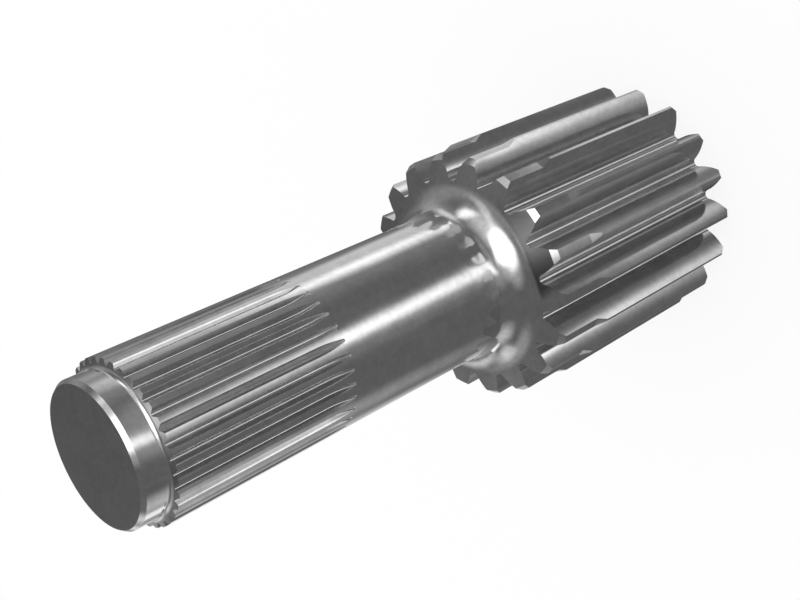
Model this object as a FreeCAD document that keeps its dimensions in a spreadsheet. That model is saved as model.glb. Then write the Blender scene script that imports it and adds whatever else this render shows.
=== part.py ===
import FreeCAD, Part
import math
import os
from types import SimpleNamespace

import Sketcher

# Sun gear shaft: one piece of steel, turned, with a hobbed gear below and a spline above.
# It stands on the gear's plain end face. Z is the shaft's axis, upwards, and the origin
# is the middle of that face. The X axis runs through the middle of one gear space.
# Sizes are millimetres and degrees.

doc = FreeCAD.newDocument("sun_gear")
sheet = doc.addObject("Spreadsheet::Sheet", "sizes")

driving_sizes = [
    ("overall_length", 216.0, "between the two end faces"),
    ("gear_height", 85.0, "lower end face to the top chamfer's inner edge"),
    ("gear_teeth", 18, "teeth on the gear"),
    ("gear_module", 3.75, "pitch diameter over number of teeth"),
    ("gear_pressure_angle", 22.5, "at the pitch circle"),
    ("gear_profile_shift", 0.53, "in modules"),
    ("gear_addendum", 1.08, "in modules, without the shift"),
    ("gear_dedendum", 1.25, "in modules, without the shift"),
    ("gear_root_round", 0.29, "radius at each side of a space's floor, in modules"),
    ("lower_chamfer_width", 1.3, "tooth tips at the lower end, radial"),
    ("lower_chamfer_height", 2.0, "the same, along the axis"),
    ("upper_chamfer_width", 1.4, "tooth tips at the upper end, radial"),
    ("upper_chamfer_height", 1.75, "the same, along the axis"),
    ("tip_relief_depth", 1.3, "the tips' upper stretch is lower by this"),
    ("tip_relief_length", 16.4, "top chamfer's inner edge to the start of the ramp"),
    ("tip_ramp_height", 3.8, "ramp from the lower tip to the full tip"),
    ("end_face_slope", 9.4, "rise of the gear's upper end face towards the shaft"),
    ("shaft_fillet_radius", 9.6, "between the journal and that end face"),
    ("fillet_land", 0.6, "least flat left outside that fillet"),
    ("spline_teeth", 35, "teeth on the spline"),
    ("spline_module", 1.25, "pitch diameter over number of teeth"),
    ("spline_pressure_angle", 30.0, "at the pitch circle"),
    ("spline_addendum", 0.5, "in modules, up to the journal's own radius"),
    ("spline_dedendum", 0.7, "in modules"),
    ("spline_space_width", 1.385, "on the pitch circle, in modules"),
    ("spline_length", 47.1, "full depth, down from the tooth tips' upper ends"),
    ("spline_turn", -3.3, "a spline space's middle from a gear space's middle"),
    ("cutter_radius", 29.7, "disc whose arc ends the spline's spaces"),
    ("pilot_step", 1.1, "pilot's radius below the spline's floor"),
    ("pilot_length", 8.4, "top end face down to the tooth tips' ends"),
    ("pilot_chamfer_width", 0.9, "edge of the top end face, radial"),
    ("pilot_chamfer_height", 1.15, "the same, along the axis"),
    ("pilot_fillet_radius", 1.35, "between the pilot and the spline's tooth ends"),
    ("spline_end_slope", 14.0, "rise of the tooth ends towards the pilot"),
    ("cutting_margin", 1.5, "how far a cut's shape runs past the solid"),
]


class Measure:
    """A number together with the expression that works it out from the sheet."""

    def __init__(self, value, text):
        self.value = value
        self.text = text

    def __add__(self, other):
        return Measure(self.value + other.value, f"({self.text} + {other.text})")

    def __sub__(self, other):
        return Measure(self.value - other.value, f"({self.text} - {other.text})")

    def __mul__(self, other):
        return Measure(self.value * other.value, f"({self.text} * {other.text})")

    def __truediv__(self, other):
        return Measure(self.value / other.value, f"({self.text} / {other.text})")


def sine(angle):
    return Measure(math.sin(math.radians(angle.value)), f"sin({angle.text})")


def cosine(angle):
    return Measure(math.cos(math.radians(angle.value)), f"cos({angle.text})")


def tangent(angle):
    return Measure(math.tan(math.radians(angle.value)), f"tan({angle.text})")


def arc_cosine(share):
    return Measure(math.degrees(math.acos(share.value)), f"acos({share.text})")


def smaller(first, second):
    return Measure(min(first.value, second.value), f"min({first.text}; {second.text})")


size = SimpleNamespace()
for row, (name, value, note) in enumerate(driving_sizes, start=1):
    sheet.set(f"A{row}", name)
    sheet.set(f"B{row}", str(value))
    sheet.set(f"C{row}", note)
    sheet.setAlias(f"B{row}", name)
    setattr(size, name, Measure(float(value), "sizes." + name))
doc.recompute()

zero = Measure(0.0, "0")
one = Measure(1.0, "1")
two = Measure(2.0, "2")

# Radii that follow from the teeth

gear_pitch = size.gear_module * size.gear_teeth / two
gear_tip = gear_pitch + (size.gear_addendum + size.gear_profile_shift) * size.gear_module
gear_root = gear_pitch - (size.gear_dedendum - size.gear_profile_shift) * size.gear_module
gear_fillet = size.gear_root_round * size.gear_module
spline_pitch = size.spline_module * size.spline_teeth / two
spline_root = spline_pitch - size.spline_dedendum * size.spline_module
journal = spline_pitch + size.spline_addendum * size.spline_module
pilot = spline_root - size.pilot_step

body = doc.addObject("PartDesign::Body", "sun_gear")
body.Label = "sun_gear"
origin = {item.Role: item for item in body.Origin.OriginFeatures}


def new_sketch(name, plane):
    sketch = body.newObject("Sketcher::SketchObject", name)
    sketch.AttachmentSupport = [(origin[plane], "")]
    sketch.MapMode = "FlatFace"
    return sketch


def bind(sketch, label, constraint, measure):
    """Adds a constraint under a name and ties its value to the sheet."""
    number = sketch.addConstraint(constraint)
    sketch.renameConstraint(number, label)
    sketch.setExpression("Constraints." + label, measure.text)


def nearest_end(sketch, number, point):
    """Which end of a line or curve, 1 or 2, lies at that point."""
    from_start = sketch.getPoint(number, 1).distanceToPoint(point)
    from_end = sketch.getPoint(number, 2).distanceToPoint(point)
    return 1 if from_start < from_end else 2


def arc_round(centre, radius, start, end):
    """The short arc about the centre from one point to the other."""
    middle = (start + end) / 2 - centre
    return Part.Arc(start, centre + middle.normalize() * radius, end)


def draw_outline(sketch, corners, rounds):
    """Closes the corners with lines, or with an arc where a corner starts a round.

    A corner is a name, an x and a y; a round is a radius and its centre's x and y.
    """
    points = [FreeCAD.Vector(x.value, y.value, 0) for corner, x, y in corners]
    for number, (corner, x, y) in enumerate(corners):
        start = points[number]
        end = points[(number + 1) % len(points)]
        if corner in rounds:
            radius, centre_x, centre_y = rounds[corner]
            centre = FreeCAD.Vector(centre_x.value, centre_y.value, 0)
            sketch.addGeometry(arc_round(centre, radius.value, start, end), False)
        else:
            sketch.addGeometry(Part.LineSegment(start, end), False)
    for number, (corner, x, y) in enumerate(corners):
        before = (number - 1) % len(corners)
        here = nearest_end(sketch, number, points[number])
        there = nearest_end(sketch, before, points[number])
        sketch.addConstraint(Sketcher.Constraint("Coincident", before, there, number, here))
        for axis, measure in (("X", x), ("Y", y)):
            distance = Sketcher.Constraint(
                "Distance" + axis, -1, 1, number, here, measure.value
            )
            bind(sketch, f"{corner}_{axis.lower()}", distance, measure)
        if corner in rounds:
            radius = rounds[corner][0]
            size_of_round = Sketcher.Constraint("Radius", number, radius.value)
            bind(sketch, corner + "_radius", size_of_round, radius)


def cut_through(name, section):
    """A pocket that runs upwards from its section through all of the solid."""
    pocket = body.newObject("PartDesign::Pocket", name)
    pocket.Profile = section
    pocket.Type = "ThroughAll"
    pocket.Reversed = True
    return pocket


def repeat_round(name, features, teeth):
    pattern = body.newObject("PartDesign::PolarPattern", name)
    pattern.Originals = features
    pattern.Axis = (origin["Z_Axis"], [""])
    pattern.Angle = 360
    pattern.Occurrences = int(teeth.value)
    pattern.setExpression("Occurrences", teeth.text)
    body.Tip = pattern
    return pattern


# Turned blank: half of its section, revolved about the shaft's axis. Both fillets touch
# the cylinder above them and the sloping face below them.

lower_tip = gear_tip - size.tip_relief_depth
upper_face = lower_tip - size.upper_chamfer_width
ramp_top = size.gear_height - size.tip_relief_length
slope = size.end_face_slope
most_fillet = (upper_face - journal - size.fillet_land) / (one - sine(slope))
shaft_fillet = smaller(size.shaft_fillet_radius, most_fillet)
shaft_foot = journal + shaft_fillet * (one - sine(slope))
shaft_foot_height = size.gear_height + (upper_face - shaft_foot) * tangent(slope)
shaft_centre_height = shaft_foot_height + shaft_fillet * cosine(slope)

tooth_end = size.overall_length - size.pilot_length
end_slope = size.spline_end_slope
pilot_fillet = size.pilot_fillet_radius
pilot_foot = pilot + pilot_fillet * (one - sine(end_slope))
pilot_foot_height = tooth_end + (journal - pilot_foot) * tangent(end_slope)
pilot_centre_height = pilot_foot_height + pilot_fillet * cosine(end_slope)

blank_corners = [
    ("axis_low", zero, zero),
    ("low_face", gear_tip - size.lower_chamfer_width, zero),
    ("low_tip", gear_tip, size.lower_chamfer_height),
    ("ramp_low", gear_tip, ramp_top - size.tip_ramp_height),
    ("ramp_high", lower_tip, ramp_top),
    ("high_tip", lower_tip, size.gear_height - size.upper_chamfer_height),
    ("high_face", upper_face, size.gear_height),
    ("shaft_foot", shaft_foot, shaft_foot_height),
    ("journal_low", journal, shaft_centre_height),
    ("journal_high", journal, tooth_end),
    ("pilot_foot", pilot_foot, pilot_foot_height),
    ("pilot_low", pilot, pilot_centre_height),
    ("pilot_high", pilot, size.overall_length - size.pilot_chamfer_height),
    ("top_face", pilot - size.pilot_chamfer_width, size.overall_length),
    ("axis_high", zero, size.overall_length),
]
blank_rounds = {
    "shaft_foot": (shaft_fillet, journal + shaft_fillet, shaft_centre_height),
    "pilot_foot": (pilot_fillet, pilot + pilot_fillet, pilot_centre_height),
}
blank_section = new_sketch("blank_section", "XZ_Plane")
draw_outline(blank_section, blank_corners, blank_rounds)
blank = body.newObject("PartDesign::Revolution", "turned_blank")
blank.Profile = blank_section
blank.ReferenceAxis = (blank_section, ["V_Axis"])
blank.Angle = 360
doc.recompute()

# Gear space, seen along the axis. Each flank is an involute of the base circle: the end
# of a string unwound from the base circle and held tight, at each length of the string.
# Arcs through its points stay within 0.005 mm of it. A round touches the flank and the
# floor, with its centre on the flank's own string. The space's middle is on the X axis.

pitch_angle = math.radians(size.gear_pressure_angle.value)
base = gear_pitch.value * math.cos(pitch_angle)
half_pitch = math.pi / size.gear_teeth.value
shift_angle = 2 * size.gear_profile_shift.value * math.tan(pitch_angle) / size.gear_teeth.value
flank_start = half_pitch / 2 - shift_angle - (math.tan(pitch_angle) - pitch_angle)
outside = gear_tip + size.cutting_margin
arcs_per_flank = 3


def string_length(radius):
    return math.sqrt(radius ** 2 - base ** 2)


def string_end(length, turn, side):
    """The end of a string of that length that leaves the base circle at that turn."""
    x = base * math.cos(turn) + length * math.sin(turn)
    y = base * math.sin(turn) - length * math.cos(turn)
    return FreeCAD.Vector(x, side * y, 0)


def involute_point(length, side):
    return string_end(length, flank_start + length / base, side)


round_length = string_length(gear_root.value + gear_fillet.value)
foot_length = round_length - gear_fillet.value
arc_step = (string_length(outside.value) - foot_length) / arcs_per_flank

gear_section = new_sketch("gear_space_section", "XY_Plane")
rounds = {}
floor_ends = {}
foot_points = {}
open_ends = {}
for side in (-1, 1):
    for arc in range(arcs_per_flank):
        first = foot_length + arc * arc_step
        points = [involute_point(first + share * arc_step, side) for share in (0, 0.5, 1)]
        flank = gear_section.addGeometry(Part.Arc(*points), False)
        gear_section.addConstraint(Sketcher.Constraint("Block", flank))
    open_ends[side] = points[-1]
    foot_points[side] = involute_point(foot_length, side)
    centre = string_end(round_length, flank_start + foot_length / base, side)
    floor_ends[side] = centre * (gear_root.value / centre.Length)
    round_arc = arc_round(centre, gear_fillet.value, foot_points[side], floor_ends[side])
    rounds[side] = gear_section.addGeometry(round_arc, False)

middle = FreeCAD.Vector(0, 0, 0)
floor_arc = arc_round(middle, gear_root.value, floor_ends[-1], floor_ends[1])
floor = gear_section.addGeometry(floor_arc, False)
outer_arc = arc_round(middle, outside.value, open_ends[-1], open_ends[1])
outer = gear_section.addGeometry(outer_arc, False)
gear_section.addConstraint([
    Sketcher.Constraint("Block", outer),
    Sketcher.Constraint("Coincident", floor, 3, -1, 1),
])
for side, label in ((-1, "round_below"), (1, "round_above")):
    flank = (side + 1) // 2 * (arcs_per_flank + 1)
    foot_end = nearest_end(gear_section, flank, foot_points[side])
    round_foot = nearest_end(gear_section, rounds[side], foot_points[side])
    round_floor = nearest_end(gear_section, rounds[side], floor_ends[side])
    floor_end = nearest_end(gear_section, floor, floor_ends[side])
    gear_section.addConstraint([
        Sketcher.Constraint("Coincident", flank, foot_end, rounds[side], round_foot),
        Sketcher.Constraint("Tangent", floor, floor_end, rounds[side], round_floor),
    ])
    size_of_round = Sketcher.Constraint("Radius", rounds[side], gear_fillet.value)
    bind(gear_section, label, size_of_round, gear_fillet)
bind(gear_section, "floor", Sketcher.Constraint("Radius", floor, gear_root.value), gear_root)

gear_space = cut_through("gear_space", gear_section)
gear_spaces = repeat_round("gear_spaces", [gear_space], size.gear_teeth)
doc.recompute()

# Spline space, seen along the axis, at the lower end of its full depth. The flanks are
# flat, at the pressure angle where they cross the pitch circle, and so is the floor. The
# disc that ends the space turns about the line that stands outside the section.

half_space = size.spline_space_width * size.spline_module / two
degrees = Measure(180.0, "180") / Measure(math.pi, "pi")
half_turn = degrees * half_space / spline_pitch
flank_angle = size.spline_pressure_angle + half_turn
open_x = journal + size.cutting_margin
open_y = half_space + (open_x - spline_pitch) * tangent(flank_angle)
floor_y = half_space - (spline_pitch - spline_root) * tangent(flank_angle)
spline_corners = [
    ("floor_below", spline_root, zero - floor_y),
    ("floor_above", spline_root, floor_y),
    ("open_above", open_x, open_y),
    ("open_below", open_x, zero - open_y),
]
spline_section = new_sketch("spline_space_section", "XY_Plane")
draw_outline(spline_section, spline_corners, {})
cutter_axis = spline_root + size.cutter_radius
axis_low = FreeCAD.Vector(cutter_axis.value, 0, 0)
axis_high = FreeCAD.Vector(cutter_axis.value, size.cutting_margin.value, 0)
axis_line = spline_section.addGeometry(Part.LineSegment(axis_low, axis_high), True)
spline_section.addConstraint([
    Sketcher.Constraint("PointOnObject", axis_line, 1, -1),
    Sketcher.Constraint("Vertical", axis_line),
])
across = Sketcher.Constraint("DistanceX", -1, 1, axis_line, 1, cutter_axis.value)
bind(spline_section, "cutter_axis", across, cutter_axis)
along = Sketcher.Constraint("DistanceY", axis_line, 1, axis_line, 2, size.cutting_margin.value)
bind(spline_section, "cutter_line", along, size.cutting_margin)
spline_foot = tooth_end - size.spline_length
spline_section.AttachmentOffset = FreeCAD.Placement(
    FreeCAD.Vector(0, 0, spline_foot.value),
    FreeCAD.Rotation(FreeCAD.Vector(0, 0, 1), size.spline_turn.value),
)
spline_section.setExpression("AttachmentOffset.Base.z", spline_foot.text)
spline_section.setExpression("AttachmentOffset.Rotation.Angle", size.spline_turn.text)

cleared = (journal - spline_root + size.cutting_margin) / size.cutter_radius
run_out_angle = arc_cosine(one - cleared)

spline_space = cut_through("spline_space", spline_section)
run_out = body.newObject("PartDesign::Groove", "spline_run_out")
run_out.Profile = spline_section
run_out.ReferenceAxis = (spline_section, ["Axis0"])
run_out.Reversed = True
run_out.setExpression("Angle", run_out_angle.text)
spline_spaces = repeat_round("spline_spaces", [spline_space, run_out], size.spline_teeth)
doc.recompute()

# Every feature has to have worked, and every cut has to have taken something away

for item in doc.Objects:
    if "Invalid" in item.State or "Error" in item.State:
        raise RuntimeError(f"{item.Name} failed: {item.State}")
volumes = [feature.Shape.Volume for feature in
           (blank, gear_space, gear_spaces, spline_space, run_out, spline_spaces)]
if any(after >= before for before, after in zip(volumes, volumes[1:])):
    raise RuntimeError(f"a cut took nothing away: {volumes}")
if body.Shape.isNull() or not body.Shape.isValid() or len(body.Shape.Solids) != 1:
    raise RuntimeError("the sun gear is not one valid solid")

os.makedirs("parts", exist_ok=True)
body.Shape.exportStep("parts/sun_gear.step")
print("volumes", volumes)
print("box", body.Shape.BoundBox)
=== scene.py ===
import math

import bmesh
import bpy
import numpy as np
from mathutils import Matrix, Vector


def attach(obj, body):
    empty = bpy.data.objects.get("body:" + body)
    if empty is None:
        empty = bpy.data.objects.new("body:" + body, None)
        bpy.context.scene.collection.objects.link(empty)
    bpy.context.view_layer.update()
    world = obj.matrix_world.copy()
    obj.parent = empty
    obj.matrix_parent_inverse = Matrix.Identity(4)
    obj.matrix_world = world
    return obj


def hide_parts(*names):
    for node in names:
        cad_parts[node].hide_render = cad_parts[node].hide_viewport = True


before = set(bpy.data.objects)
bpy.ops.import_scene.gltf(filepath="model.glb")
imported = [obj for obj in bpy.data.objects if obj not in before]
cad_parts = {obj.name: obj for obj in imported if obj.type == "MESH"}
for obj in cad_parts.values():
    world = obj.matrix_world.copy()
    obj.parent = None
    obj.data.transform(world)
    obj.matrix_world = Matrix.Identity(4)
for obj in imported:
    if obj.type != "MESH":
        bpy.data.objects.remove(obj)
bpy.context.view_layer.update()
mm = 0.001

# How the grids become one mesh: millimetres and degrees
joining = {"mergeDistance": 0.0005, "sharpAngle": 15.0}


def polar(radius, angle, height):  # ring points from radius, angle and height, broadcast together
    radius, angle, height = np.broadcast_arrays(radius, angle, height)
    return np.stack([radius * np.cos(angle), radius * np.sin(angle), height], axis=-1)


def steps(first, last, count):
    return np.linspace(first, last, count + 1)


def bisect(low, high, isBelow, halvings=40):  # where isBelow stops holding in an interval
    for halving in range(halvings):
        middle = (low + high) / 2
        low, high = (middle, high) if isBelow(middle) else (low, middle)
    return low


class SurfaceSet:
    # Collects grids of points as quads. Rows run from the middle of the lower end face out,
    # up the outside and in to the middle of the upper one; columns run anticlockwise.

    def __init__(self):
        self.points = []
        self.faces = []  # a triangle's fourth corner is -1
        self.total = 0

    def grid(self, points):
        rows, columns = points.shape[:2]
        index = self.total + np.arange(rows * columns).reshape(rows, columns)
        corners = [index[:-1, :-1], index[:-1, 1:], index[1:, 1:], index[1:, :-1]]
        self.points.append(points.reshape(-1, 3))
        self.faces.append(np.stack(corners, axis=-1).reshape(-1, 4))
        self.total += rows * columns

    def rings(self, radius, height, angle):  # a turned surface: one radius and height for each row
        self.grid(polar(radius[:, None], angle[None, :], height[:, None]))

    def strip(self, lower, upper):
        # Triangles between two rings of different point counts: in order of angle, each
        # point joins the last one passed on the other ring
        lowAngle = np.arctan2(lower[:, 1], lower[:, 0]) % (2 * np.pi)
        highAngle = np.arctan2(upper[:, 1], upper[:, 0]) % (2 * np.pi)
        lower, lowAngle = lower[np.argsort(lowAngle)], np.sort(lowAngle)
        upper, highAngle = upper[np.argsort(highAngle)], np.sort(highAngle)
        isLow = np.r_[np.ones(len(lower), bool), np.zeros(len(upper), bool)]
        isLow = isLow[np.argsort(np.r_[lowAngle, highAngle], kind="stable")]
        lowNow = (np.cumsum(isLow) - 1) % len(lower)
        highNow = (np.cumsum(~isLow) - 1) % len(upper)
        lowBefore = np.where(isLow, (lowNow - 1) % len(lower), lowNow)
        highBefore = np.where(isLow, highNow, (highNow - 1) % len(upper)) + len(lower)
        third = np.where(isLow, lowNow, highNow + len(lower))
        triangles = np.stack([lowBefore, third, highBefore], axis=-1) + self.total
        self.points.append(np.r_[lower, upper])
        self.faces.append(np.c_[triangles, np.full(len(triangles), -1)])
        self.total += len(lower) + len(upper)

    def mesh(self, name):
        points = np.concatenate(self.points) * mm
        faces = np.concatenate(self.faces)
        counts = np.where(faces[:, 3] < 0, 3, 4)
        corners = faces.ravel()[faces.ravel() >= 0]
        data = bpy.data.meshes.new(name)
        data.vertices.add(len(points))
        data.vertices.foreach_set("co", points.astype(np.float32).ravel())
        data.loops.add(len(corners))
        data.loops.foreach_set("vertex_index", corners.astype(np.int32))
        data.polygons.add(len(faces))
        data.polygons.foreach_set("loop_start", (np.cumsum(counts) - counts).astype(np.int32))
        data.update(calc_edges=True)
        work = bmesh.new()
        work.from_mesh(data)
        bmesh.ops.remove_doubles(work, verts=work.verts, dist=joining["mergeDistance"] * mm)
        loose = sum(not edge.is_manifold for edge in work.edges)
        print(f"{name}: {len(work.verts)} points, {len(work.faces)} faces, {loose} open edges")
        work.to_mesh(data)
        work.free()
        data.shade_smooth()
        data.set_sharp_from_angle(angle=math.radians(joining["sharpAngle"]))
        return data


def aroundTeeth(half, columns, period, count):
    # A whole ring from half a space: the space, the tooth's land and the mirrored half, repeated
    radius, angle = half
    land = steps(angle[-1], period - angle[-1], columns)[1:-1]
    radius = np.r_[radius, np.full(len(land), radius[-1]), radius[::-1][:-1]]
    angle = np.r_[angle, land, (period - angle[::-1])[:-1]]
    turns = np.arange(count)[:, None] * period
    angle = np.r_[(turns + angle).ravel(), count * period]
    return np.r_[np.tile(radius, count), radius[0]], angle


def toothEnds(surfaces, half, columns, period, count, height, turn, outwards):
    # The teeth's end faces: each row joins two flanks at one radius, from land to root
    radius, angle = (values[::-1] for values in half)
    across = angle[:, None] + (period - 2 * angle[:, None]) * steps(0, 1, columns)
    for tooth in range(count):
        face = polar(radius[:, None], across + tooth * period + turn, height(radius)[:, None])
        surfaces.grid(face[::-1] if outwards else face)


def innerRing(columns, period, count):  # angles of the ring inside the teeth
    return np.arange(count * columns + 1) * period / columns


# The gear end, in millimetres and degrees. Addendum and dedendum are in modules.
gear = {
    "teeth": 18,
    "module": 3.75,
    "pressureAngle": 22.5,
    "profileShift": 0.53,
    "addendum": 1.08,
    "dedendum": 1.25,
    "height": 85.0,
    "tipReliefDepth": 1.3,
    "tipReliefLength": 16.4,
    "tipRampHeight": 3.8,
    "lowerChamfer": (1.3, 2.0),  # radial, axial
    "upperChamfer": (1.4, 1.75),
    "endFaceSlope": 9.4,
    "roundSteps": 9,
    "flankSteps": (14, 3),  # up to the end face's edge, then up to the tip
    "tipSteps": 9,
    "straightRows": 8,
}

# The spline; addendum, dedendum and the width of a space are in modules
spline = {
    "teeth": 35,
    "module": 1.25,
    "pressureAngle": 30.0,
    "addendum": 0.5,
    "dedendum": 0.7,
    "spaceWidth": 1.385,
    "length": 47.1,
    "turn": -3.3,
    "cutterRadius": 29.7,
    "endSlope": 14.0,
    "edgeBlend": 0.04,  # height over which a flank blends into the land
    "roundShare": 0.8,  # most of the half width that the round's points take
    "roundSteps": 5,
    "flankSteps": 3,
    "edgeSteps": 2,
    "landSteps": 4,
    "runOutRows": 28,
    "straightRows": 6,
}

# The journal, its fillet, the pilot and the end faces' middles
shaft = {
    "length": 216.0,
    "filletRadius": 9.6,
    "filletSteps": 24,
    "joinHeight": 120.0,  # where the gear's ring of points hands over to the spline's
    "joinGap": 1.0,
    "journalRows": 4,
    "pilotStep": 1.1,
    "pilotLength": 8.4,
    "pilotChamfer": (0.9, 1.15),  # radial, axial
    "pilotFilletRadius": 1.35,
    "pilotFilletSteps": 8,
    "faceRings": 6,
}

pressure = math.radians(gear["pressureAngle"])
gearPitch = gear["module"] * gear["teeth"] / 2
gearBase = gearPitch * math.cos(pressure)
gearTip = gearPitch + (gear["addendum"] + gear["profileShift"]) * gear["module"]
gearRoot = gearPitch - (gear["dedendum"] - gear["profileShift"]) * gear["module"]
upperTip = gearTip - gear["tipReliefDepth"]
lowerEndTip = gearTip - gear["lowerChamfer"][0]
upperFaceEdge = upperTip - gear["upperChamfer"][0]
splinePitch = spline["module"] * spline["teeth"] / 2
journal = splinePitch + spline["addendum"] * spline["module"]
splineRoot = splinePitch - spline["dedendum"] * spline["module"]
pilot = splineRoot - shaft["pilotStep"]


def rootRound(start):
    # The full round at a space's bottom. Its centre, at the round's radius above the root,
    # lies on the middle line, where start + foot / base = atan(string / base); the foot, where
    # the involute begins, is the string less the radius.
    def string(radius):
        return math.sqrt(max((gearRoot + radius) ** 2 - gearBase ** 2, 0))

    def isBesides(radius):
        return start + (string(radius) - radius) / gearBase > math.atan2(string(radius), gearBase)

    radius = bisect(0.0, gear["module"], isBesides)
    return radius, string(radius) - radius


def gearSpace(tip):
    # Radius and angle of half a tooth space, from its middle to the tooth's edge at a tip
    # radius: the round, then the involute, with radius sqrt(base^2 + string^2) and angle
    # start + string / base - atan(string / base)
    shift = 2 * gear["profileShift"] * math.tan(pressure) / gear["teeth"]
    start = math.pi / gear["teeth"] / 2 - shift - (math.tan(pressure) - pressure)
    roundRadius, foot = rootRound(start)
    edge = math.sqrt(upperFaceEdge ** 2 - gearBase ** 2)
    end = math.sqrt(tip ** 2 - gearBase ** 2)
    toEdge, toTip = gear["flankSteps"]
    string = np.r_[steps(foot, edge, toEdge)[:-1], steps(edge, end, toTip)]
    flankRadius = np.sqrt(gearBase ** 2 + string ** 2)
    flankAngle = start + string / gearBase - np.arctan2(string, gearBase)
    centre = gearRoot + roundRadius
    touchX = flankRadius[0] * math.cos(flankAngle[0])
    touchY = flankRadius[0] * math.sin(flankAngle[0])
    turn = steps(math.pi, math.atan2(touchY, touchX - centre), gear["roundSteps"])[:-1]
    roundX, roundY = centre + roundRadius * np.cos(turn), roundRadius * np.sin(turn)
    roundY[0] = 0
    radius = np.r_[np.hypot(roundX, roundY), flankRadius]
    return radius, np.r_[np.arctan2(roundY, roundX), flankAngle]


def makeGear(surfaces):
    # One ring round all the teeth at each height. The tip radius steps from the lower
    # chamfer to the full tip, and down a ramp to the relieved tip below the upper end.
    period = 2 * math.pi / gear["teeth"]
    around = (gear["tipSteps"], period, gear["teeth"])
    slope = math.tan(math.radians(gear["endFaceSlope"]))
    chamferWidth, chamferHeight = gear["upperChamfer"]

    def topHeight(radius):  # end face, a cone, and the tooth tips' chamfer outside it
        fall = np.where(radius > upperFaceEdge, chamferHeight / chamferWidth, slope)
        return gear["height"] + (upperFaceEdge - radius) * fall

    rampTop = gear["height"] - gear["tipReliefLength"]
    rampLow = rampTop - gear["tipRampHeight"]
    straight = steps(gear["lowerChamfer"][1], rampLow, gear["straightRows"])
    stations = [(lowerEndTip, 0.0)] + [(gearTip, height) for height in straight]
    stations += [(upperTip, rampTop), (upperTip, (rampTop + gear["height"]) / 2)]
    rows = []
    for tip, height in stations:
        radius, angle = aroundTeeth(gearSpace(tip), *around)
        rows.append(polar(radius, angle, height))
    rows.append(polar(radius, angle, topHeight(radius)))
    surfaces.grid(np.array(rows))
    toothEnds(surfaces, gearSpace(lowerEndTip), *around, np.zeros_like, 0, True)
    toothEnds(surfaces, gearSpace(upperTip), *around, topHeight, 0, False)
    ring = innerRing(*around)
    middle = steps(0, gearRoot, shaft["faceRings"])
    surfaces.rings(middle, np.zeros_like(middle), ring)
    return ring, topHeight


def filletArc(inner, fillet, count, slopeAngle, topHeight):
    # Radii and heights of an arc tangent to a sloping face and to the cylinder inside it,
    # from the face up to the cylinder: centre + fillet * (cos, sin)
    slope = math.radians(slopeAngle)
    foot = inner + fillet * (1 - math.sin(slope))
    centreHeight = float(topHeight(foot)) + fillet * math.cos(slope)
    turn = steps(-math.pi / 2 - slope, -math.pi, count)
    return inner + fillet + fillet * np.cos(turn), centreHeight + fillet * np.sin(turn)


def makeFillet(surfaces, ring, topHeight):
    # The end face inside the teeth, the fillet, then the journal's lower stretch
    radius, height = filletArc(
        journal, shaft["filletRadius"], shaft["filletSteps"], gear["endFaceSlope"], topHeight)
    journalHeight = steps(height[-1], shaft["joinHeight"], shaft["journalRows"])[1:]
    radius = np.r_[gearRoot, radius, np.full(len(journalHeight), journal)]
    height = np.r_[float(topHeight(gearRoot)), height, journalHeight]
    surfaces.rings(radius, height, ring)


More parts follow.
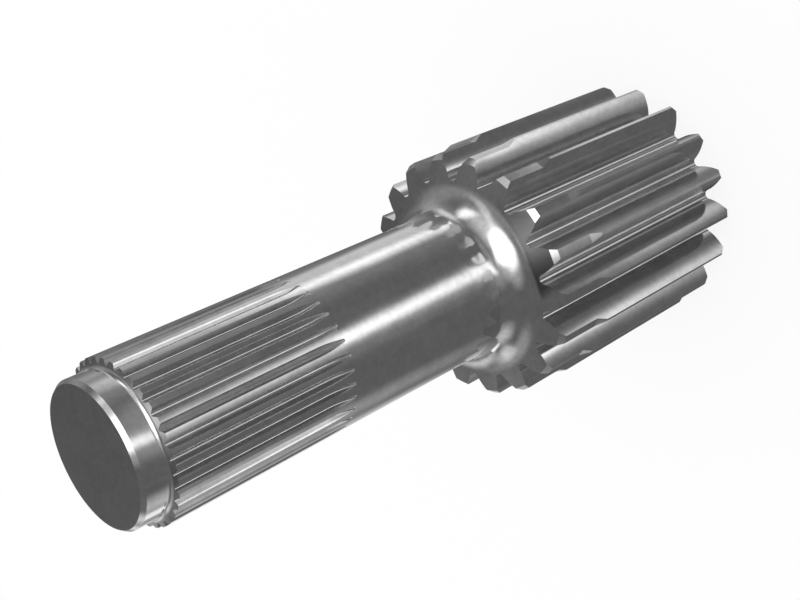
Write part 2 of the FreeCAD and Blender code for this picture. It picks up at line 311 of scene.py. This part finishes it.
def makeSpline(surfaces):
    # A space's section is x(y): a round floor, then flat flanks at the pressure angle. The
    # cutter's disc of radius R lifts a point at distance D from its axis by D - sqrt(D^2 - h^2)
    # where the cut is taken h below the full depth's lower end. With the journal's circle c(y)
    # it blends over a height k: min(x, c) - (k - |x - c|)^2 / 4k.
    period = 2 * math.pi / spline["teeth"]
    around = (spline["landSteps"], period, spline["teeth"])
    turn = math.radians(spline["turn"])
    halfSpace = spline["spaceWidth"] * spline["module"] / 2
    flank = math.radians(spline["pressureAngle"]) + halfSpace / splinePitch
    depth = splinePitch - splineRoot
    floorRound = (halfSpace * math.cos(flank) - depth * math.sin(flank)) / (1 - math.sin(flank))
    touchY = floorRound * math.cos(flank)
    touchX = splineRoot + floorRound * (1 - math.sin(flank))
    axis = splineRoot + spline["cutterRadius"]
    blend = spline["edgeBlend"]
    tipDrop = math.sqrt(spline["cutterRadius"] ** 2 - (axis - journal - blend) ** 2)
    toothEnd = shaft["length"] - shaft["pilotLength"]
    foot = toothEnd - spline["length"]
    endSlope = math.tan(math.radians(spline["endSlope"]))

    def section(y, drop):
        inRound = splineRoot + floorRound - np.sqrt(np.maximum(floorRound ** 2 - y ** 2, 0))
        x = np.where(y < touchY, inRound, touchX + (y - touchY) / math.tan(flank))
        reach = axis - x
        return x + reach - np.sqrt(np.maximum(reach ** 2 - drop ** 2, 0))

    def crossing(drop, above):  # y where the section lies so far above the journal's circle
        def isInside(y):
            return section(np.array(y), drop) < math.sqrt(journal ** 2 - y ** 2) + above

        return bisect(0.0, 2 * halfSpace, isInside)

    def halfSpaceAt(drop):
        end = crossing(drop, blend)
        edge = max(crossing(drop, -blend), end / 2)
        floor = min(touchY, edge * spline["roundShare"])
        y = np.r_[
            floor * np.sin(steps(0, math.pi / 2, spline["roundSteps"])),
            steps(floor, edge, spline["flankSteps"])[1:],
            steps(edge, end, spline["edgeSteps"])[1:],
        ]
        x, circle = section(y, drop), np.sqrt(journal ** 2 - y ** 2)
        near = np.maximum(blend - np.abs(x - circle), 0)
        x = np.minimum(x, circle) - near ** 2 / (4 * blend)
        radius = np.hypot(x, y)
        radius[-1] = journal
        return radius, np.arctan2(y, x)

    def topHeight(radius):
        return toothEnd + (journal - radius) * endSlope

    full = halfSpaceAt(0.0)
    point = (np.full_like(full[0], journal), np.zeros_like(full[1]))  # each run-out's lower end
    radius, angle = aroundTeeth(point, *around)
    rows = [polar(radius, angle + turn, foot - tipDrop)]
    for share in steps(0, 1, spline["runOutRows"])[1:]:
        drop = tipDrop * math.cos(share * math.pi / 2)
        radius, angle = aroundTeeth(halfSpaceAt(drop), *around)
        rows.append(polar(radius, angle + turn, foot - drop))
    radius, angle = aroundTeeth(full, *around)
    for height in steps(foot, toothEnd, spline["straightRows"])[1:-1]:
        rows.append(polar(radius, angle + turn, height))
    rows.append(polar(radius, angle + turn, topHeight(radius)))
    surfaces.grid(np.array(rows))
    toothEnds(surfaces, full, *around, topHeight, turn, False)
    return innerRing(*around) + turn, foot - tipDrop, topHeight


def makePilot(surfaces, ring, topHeight):
    # The end face inside the teeth, a small fillet, the pilot, its chamfer and its flat end
    radius, height = filletArc(
        pilot, shaft["pilotFilletRadius"], shaft["pilotFilletSteps"], spline["endSlope"], topHeight)
    chamferWidth, chamferHeight = shaft["pilotChamfer"]
    top = shaft["length"]
    middle = steps(pilot - chamferWidth, 0, shaft["faceRings"])
    radius = np.r_[splineRoot, radius, pilot, middle]
    height = np.r_[
        float(topHeight(splineRoot)), height, top - chamferHeight, np.full(len(middle), top)]
    surfaces.rings(radius, height, ring)


def makeJoin(surfaces, gearRing, splineRing, splineLow):
    # The journal's upper stretch, and the strip where one ring of points meets the other
    low, high = shaft["joinHeight"], shaft["joinHeight"] + shaft["joinGap"]
    height = steps(high, splineLow, shaft["journalRows"])
    surfaces.rings(np.full(len(height), journal), height, splineRing)
    surfaces.strip(polar(journal, gearRing[:-1], low), polar(journal, splineRing[:-1], high))


surfaces = SurfaceSet()
gearRing, gearTopHeight = makeGear(surfaces)
makeFillet(surfaces, gearRing, gearTopHeight)
splineRing, splineLow, splineTopHeight = makeSpline(surfaces)
makeJoin(surfaces, gearRing, splineRing, splineLow)
makePilot(surfaces, splineRing, splineTopHeight)
body = bpy.data.objects.new("sunGearBody", surfaces.mesh("sunGearBody"))
bpy.context.scene.collection.objects.link(body)
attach(body, "root")
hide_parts("sun_gear")
print("sun gear made")


# Shader maths: a socket with the operators of a number
class Value:
    def __init__(self, tree, socket):
        self.tree = tree
        self.socket = socket

    def maths(self, operation, *others):
        return self.tree.add("ShaderNodeMath", {"operation": operation}, [self, *others])

    def __add__(self, other):
        return self.maths("ADD", other)

    def __sub__(self, other):
        return self.maths("SUBTRACT", other)

    def __mul__(self, other):
        return self.maths("MULTIPLY", other)

    def __truediv__(self, other):
        return self.maths("DIVIDE", other)

    def __rsub__(self, other):
        return self.tree.add("ShaderNodeMath", {"operation": "SUBTRACT"}, [other, self])

    __radd__ = __add__
    __rmul__ = __mul__


def grey(level):
    return (level, level, level, 1)


class Tree:
    def __init__(self, owner):
        owner.use_nodes = True
        self.nodes = owner.node_tree.nodes
        self.links = owner.node_tree.links
        self.nodes.clear()

    def feed(self, socket, value):
        if isinstance(value, Value):
            self.links.new(value.socket, socket)
        else:
            socket.default_value = value

    def add(self, kind, settings=None, values=None, output=0):
        # One node: its settings first, then the values or links of its inputs by place or name
        node = self.nodes.new(kind)
        settings = dict(settings or {})
        stops = settings.pop("stops", [])
        for name, value in settings.items():
            setattr(node, name, value)
        if stops:
            elements = node.color_ramp.elements
            while len(elements) < len(stops):
                elements.new(0.5)
            for element, (place, level) in zip(elements, stops):
                element.position, element.color = place, grey(level)
        pairs = values.items() if isinstance(values, dict) else enumerate(values or [])
        for name, value in pairs:
            self.feed(node.inputs[name], value)
        return Value(self, node.outputs[output]) if len(node.outputs) else None


def ramp(value, start, end):  # 0 at start, 1 at end, eased at both
    return value.tree.add("ShaderNodeMapRange", {"interpolation_type": "SMOOTHSTEP"}, {
        "Value": value, "From Min": start, "From Max": end, "To Min": 0.0, "To Max": 1.0,
    })


# Dark ground steel. Heights are in metres, and noise scales in cycles a metre.
steel = {
    "colour": 0.100,
    "edgeTint": 0.58,
    "roughness": 0.13,
    "mirroredRoughness": 0.42,
    "paintedReflectionTone": (  # height, and the painted reflection tone there: the colour steel takes only where other steel mirrors it, lighter or darker than its own grey in place of the light it reflects
        (0.076, 0.54), (0.081, 0.64), (0.086, 0.64),  # painted highlight: tooth ends lighter where mirrored
        (0.0895, 0.25), (0.115, 0.25), (0.13, 0.54),  # painted shade: fillet and lower journal darker where mirrored
    ),
    "cloud": (150.0, 4.0, 0.3, 0.05),  # scale, detail, shares of the colour and the roughness
    "grain": (600.0, 2.0, 0.25),
    "streak": (1.0, 3.0, 0.16, 0.03),
    "streakAlong": (1000.0, 1000.0, 22.0),
    "streakHeight": 0.0000014,
    "wave": (90.0, 0.0, 0.00005),  # scale, detail, bump height
    "filletWave": (230.0, 0.0, 0.00016),
    "filletFrom": (0.085, 0.091),  # the fillet's hand-finished zone fades in and out
    "filletTo": (0.098, 0.106),
    "noiseRoughness": 0.55,
}


def steelMaterial():
    material = bpy.data.materials.new("groundSteel")
    tree = Tree(material)
    place = tree.add("ShaderNodeTexCoord", output="Object")
    height = tree.add("ShaderNodeSeparateXYZ", {}, [place], output="Z")
    inSteel = tree.add("ShaderNodeLightPath", output="Is Glossy Ray")

    def noise(name, vector=place):  # about zero, from -0.5 to 0.5, then its shares or height
        scale, detail, *shares = steel[name]
        texture = tree.add("ShaderNodeTexNoise", {}, {
            "Vector": vector, "Scale": scale, "Detail": detail,
            "Roughness": steel["noiseRoughness"],
        })
        return texture - 0.5, *shares

    along = tree.add("ShaderNodeMapping", {}, {"Vector": place, "Scale": steel["streakAlong"]})
    cloud, cloudShare, cloudRoughness = noise("cloud")
    grain, grainShare = noise("grain")
    streak, streakShare, streakRoughness = noise("streak", along)
    wave, waveHeight = noise("wave")
    filletWave, filletHeight = noise("filletWave")

    inFillet = ramp(height, *steel["filletFrom"]) * (1 - ramp(height, *steel["filletTo"]))
    bumps = wave * waveHeight + filletWave * inFillet * filletHeight
    bumps = bumps + streak * steel["streakHeight"]
    normal = tree.add("ShaderNodeBump", {}, {"Strength": 1.0, "Distance": 1.0, "Height": bumps})

    # Painted reflection: where steel is seen mirrored in other steel, its colour is swapped for a
    # painted tone set by height. The tone stands in for reflected light, so that the tooth spaces
    # don't go dark. Steel seen directly keeps its own grey.
    length = shaft["length"] * mm
    stops = [(level / length, tone) for level, tone in steel["paintedReflectionTone"]]
    paintedReflectionTone = tree.add("ShaderNodeValToRGB", {"stops": stops}, {"Fac": height / length})
    plain = tree.add("ShaderNodeMix", {"data_type": "RGBA"}, {
        "Factor": inSteel, "A": grey(steel["colour"]), "B": paintedReflectionTone,
    }, output="Result")
    tone = 1 + cloud * cloudShare + grain * grainShare + streak * streakShare
    mottle = tree.add("ShaderNodeCombineColor", {}, [tone, tone, tone])
    colour = tree.add("ShaderNodeMix", {"data_type": "RGBA", "blend_type": "MULTIPLY"}, {
        "Factor": 1.0, "A": plain, "B": mottle,
    }, output="Result")

    roughness = steel["roughness"] + cloud * cloudRoughness + streak * streakRoughness
    roughness = roughness + inSteel * (steel["mirroredRoughness"] - steel["roughness"])
    surface = tree.add("ShaderNodeBsdfPrincipled", {}, {
        "Base Color": colour, "Metallic": 1.0, "Roughness": roughness,
        "Specular Tint": grey(steel["edgeTint"]), "Normal": normal,
    })
    tree.add("ShaderNodeOutputMaterial", {}, {"Surface": surface})
    return material


body.data.materials.append(steelMaterial())
print("steel finished")


# The studio. Each softbox is seen in the steel only: azimuth and elevation of its middle,
# half its width and height in degrees, its roll, the share of it that fades out, strength.
studio = {
    "floorSize": 6.0,
    "floorColour": 0.99,
    "floorDiffuse": 0.15,  # share of the floor's brightness that the shadow can take away
    "level": 1.0,  # white, all round
    "darkest": 0.05,
    "horizon": 0.001,  # least cosine from a box's middle, so that nothing shows behind it
    "softboxes": {
        "glow": (8, 36, 44.5, 33.6, -14, 0.97, 4.3),
        "key": (-8, 40, 23.7, 33.6, -11, 0.29, 9.0),
        "keyFoot": (-13, 10, 8.1, 16, -30, 0.25, 3.4),
        "front": (-26, -32, 5.7, 17.2, 20, 0.97, 8.3),
        "frontTail": (-22, -70, 11.6, 43.6, 1, 0.84, 2.4),
        "frontRise": (-33, -7, 16.8, 28.6, -7, 0.97, 1.8),
        "side": (71, -38, 6.7, 4.9, 9, 0.97, 7.0),
        "sideBand": (91, -40, 11.1, 19.7, 58, 0.4, 3.0),
        "sideRise": (75, -15, 17.3, 8, 7, 0.54, 3.7),
        "lowSide": (47, -51, 9.7, 3.2, 4, 0.97, 5.0),
        "sideGlow": (87, -24, 39.8, 28.4, 0, 0.97, 1.2),
        "arc": (57, 16, 7, 20.5, 6, 0.65, 7.6),
        "upperBand": (64, 58, 18.7, 6.5, 12, 0.51, 3.0),
        "rightBand": (103, 31, 13.5, 62, 0, 0.97, 1.2),
        "backHigh": (-151, 14, 9, 13.7, 24, 0.97, 5.0),
        "backMiddle": (-171, -1, 21.5, 8.6, -50, 0.94, 4.4),
        "backLeft": (-126, -14, 12.3, 23.1, -33, 0.97, 3.6),
        "frontGlow": (2, -20, 22, 6.5, 0, 0.7, 1.2),
        "backSpot": (-151, -20, 8.4, 4.4, 18, 0.66, 7.5),
        "backLow": (176, -31, 28.7, 8, -2, 0.39, 1.1),
        "backTop": (-153, 35, 22.6, 12.8, 13, 0.6, 1.5),
        "flagBelow": (151, -42, 23.2, 35.3, 42, 0.44, -0.9),
        "flagBehind": (150, 24, 12, 9, 0, 0.9, -0.2),
    },
}


def seenDirectly(tree):  # 1 for camera, glossy and transmission rays
    kinds = ("Is Camera Ray", "Is Glossy Ray", "Is Transmission Ray")
    camera, glossy, transmission = (tree.add("ShaderNodeLightPath", output=kind) for kind in kinds)
    return camera.maths("MAXIMUM", glossy).maths("MAXIMUM", transmission)


def makeFloor():
    # A flat square under the object: mostly glowing white, with the rest lit, to hold the shadow
    half = studio["floorSize"] / 2
    corners = [(-half, -half, 0), (half, -half, 0), (half, half, 0), (-half, half, 0)]
    data = bpy.data.meshes.new("floor")
    data.from_pydata(corners, [], [(0, 1, 2, 3)])
    floor = bpy.data.objects.new("floor", data)
    bpy.context.scene.collection.objects.link(floor)
    material = bpy.data.materials.new("whiteFloor")
    tree = Tree(material)
    lit = tree.add("ShaderNodeBsdfDiffuse", {}, {"Color": grey(studio["floorColour"])})
    glow = tree.add("ShaderNodeEmission", {}, {"Color": grey(1), "Strength": studio["level"]})
    share = seenDirectly(tree) * (1 - studio["floorDiffuse"])
    surface = tree.add("ShaderNodeMixShader", {}, [share, lit, glow])
    tree.add("ShaderNodeOutputMaterial", {}, {"Surface": surface})
    data.materials.append(material)
    floor.visible_glossy = False  # the steel sees the same white there, and the softboxes in it
    floor.visible_shadow = False


def softbox(tree, direction, azimuth, elevation, width, height, roll, fade, strength):
    # An ellipse on the plane that touches the sphere of directions at the box's middle:
    # 1 inside, eased to 0 at its edge, nothing behind
    turn, lift, roll, width, height = np.radians([azimuth, elevation, roll, width, height])
    middle = Vector((
        math.cos(lift) * math.cos(turn), math.cos(lift) * math.sin(turn), math.sin(lift)))
    level = Vector((-math.sin(turn), math.cos(turn), 0))
    upright = middle.cross(level)
    right = level * math.cos(roll) + upright * math.sin(roll)
    up = upright * math.cos(roll) - level * math.sin(roll)

    def along(axis):
        pair = [direction, tuple(axis)]
        return tree.add("ShaderNodeVectorMath", {"operation": "DOT_PRODUCT"}, pair, output="Value")

    ahead = along(middle).maths("MAXIMUM", studio["horizon"])
    across = along(right / math.tan(width)) / ahead
    above = along(up / math.tan(height)) / ahead
    reach = (across * across + above * above).maths("SQRT")
    return (1 - ramp(reach, 1 - fade, 1 + fade)) * strength


def makeWorld():
    world = bpy.data.worlds.new("studio")
    bpy.context.scene.world = world
    tree = Tree(world)
    direction = tree.add("ShaderNodeTexCoord", output="Generated")
    inSteel = tree.add("ShaderNodeLightPath", output="Is Glossy Ray")
    boxes = [softbox(tree, direction, *values) for values in studio["softboxes"].values()]
    light = sum(boxes, studio["level"]).maths("MAXIMUM", studio["darkest"])
    plain = tree.add("ShaderNodeBackground", {}, {"Color": grey(1), "Strength": studio["level"]})
    withBoxes = tree.add("ShaderNodeBackground", {}, {"Color": grey(1), "Strength": light})
    surface = tree.add("ShaderNodeMixShader", {}, [inSteel, plain, withBoxes])
    tree.add("ShaderNodeOutputWorld", {}, {"Surface": surface})
    world.cycles.sampling_method = "NONE"  # the boxes are only met by reflections


# The photograph's viewpoint: lens in millimetres, place in metres, and the camera's right,
# up and backward directions as columns
viewpoint = {
    "lens": 54.75,
    "sensorWidth": 36.0,
    "clipStart": 0.01,
    "place": (0.257376, -0.102802, 0.331786),
    "directions": (
        (0.35638336, 0.59021153, 0.72432124),
        (-0.61133424, 0.7335506, -0.29694101),
        (-0.70658429, -0.33697754, 0.62224174),
    ),
}


def makeCamera():
    lens = bpy.data.cameras.new("photoCamera")
    lens.lens = viewpoint["lens"]
    lens.sensor_width = viewpoint["sensorWidth"]
    lens.clip_start = viewpoint["clipStart"]
    camera = bpy.data.objects.new("photoCamera", lens)
    turn = Matrix(viewpoint["directions"]).to_4x4()
    camera.matrix_world = Matrix.Translation(viewpoint["place"]) @ turn
    bpy.context.scene.collection.objects.link(camera)
    bpy.context.scene.camera = camera


makeFloor()
makeWorld()
makeCamera()
bpy.context.scene.view_settings.view_transform = "Standard"
print("studio made")
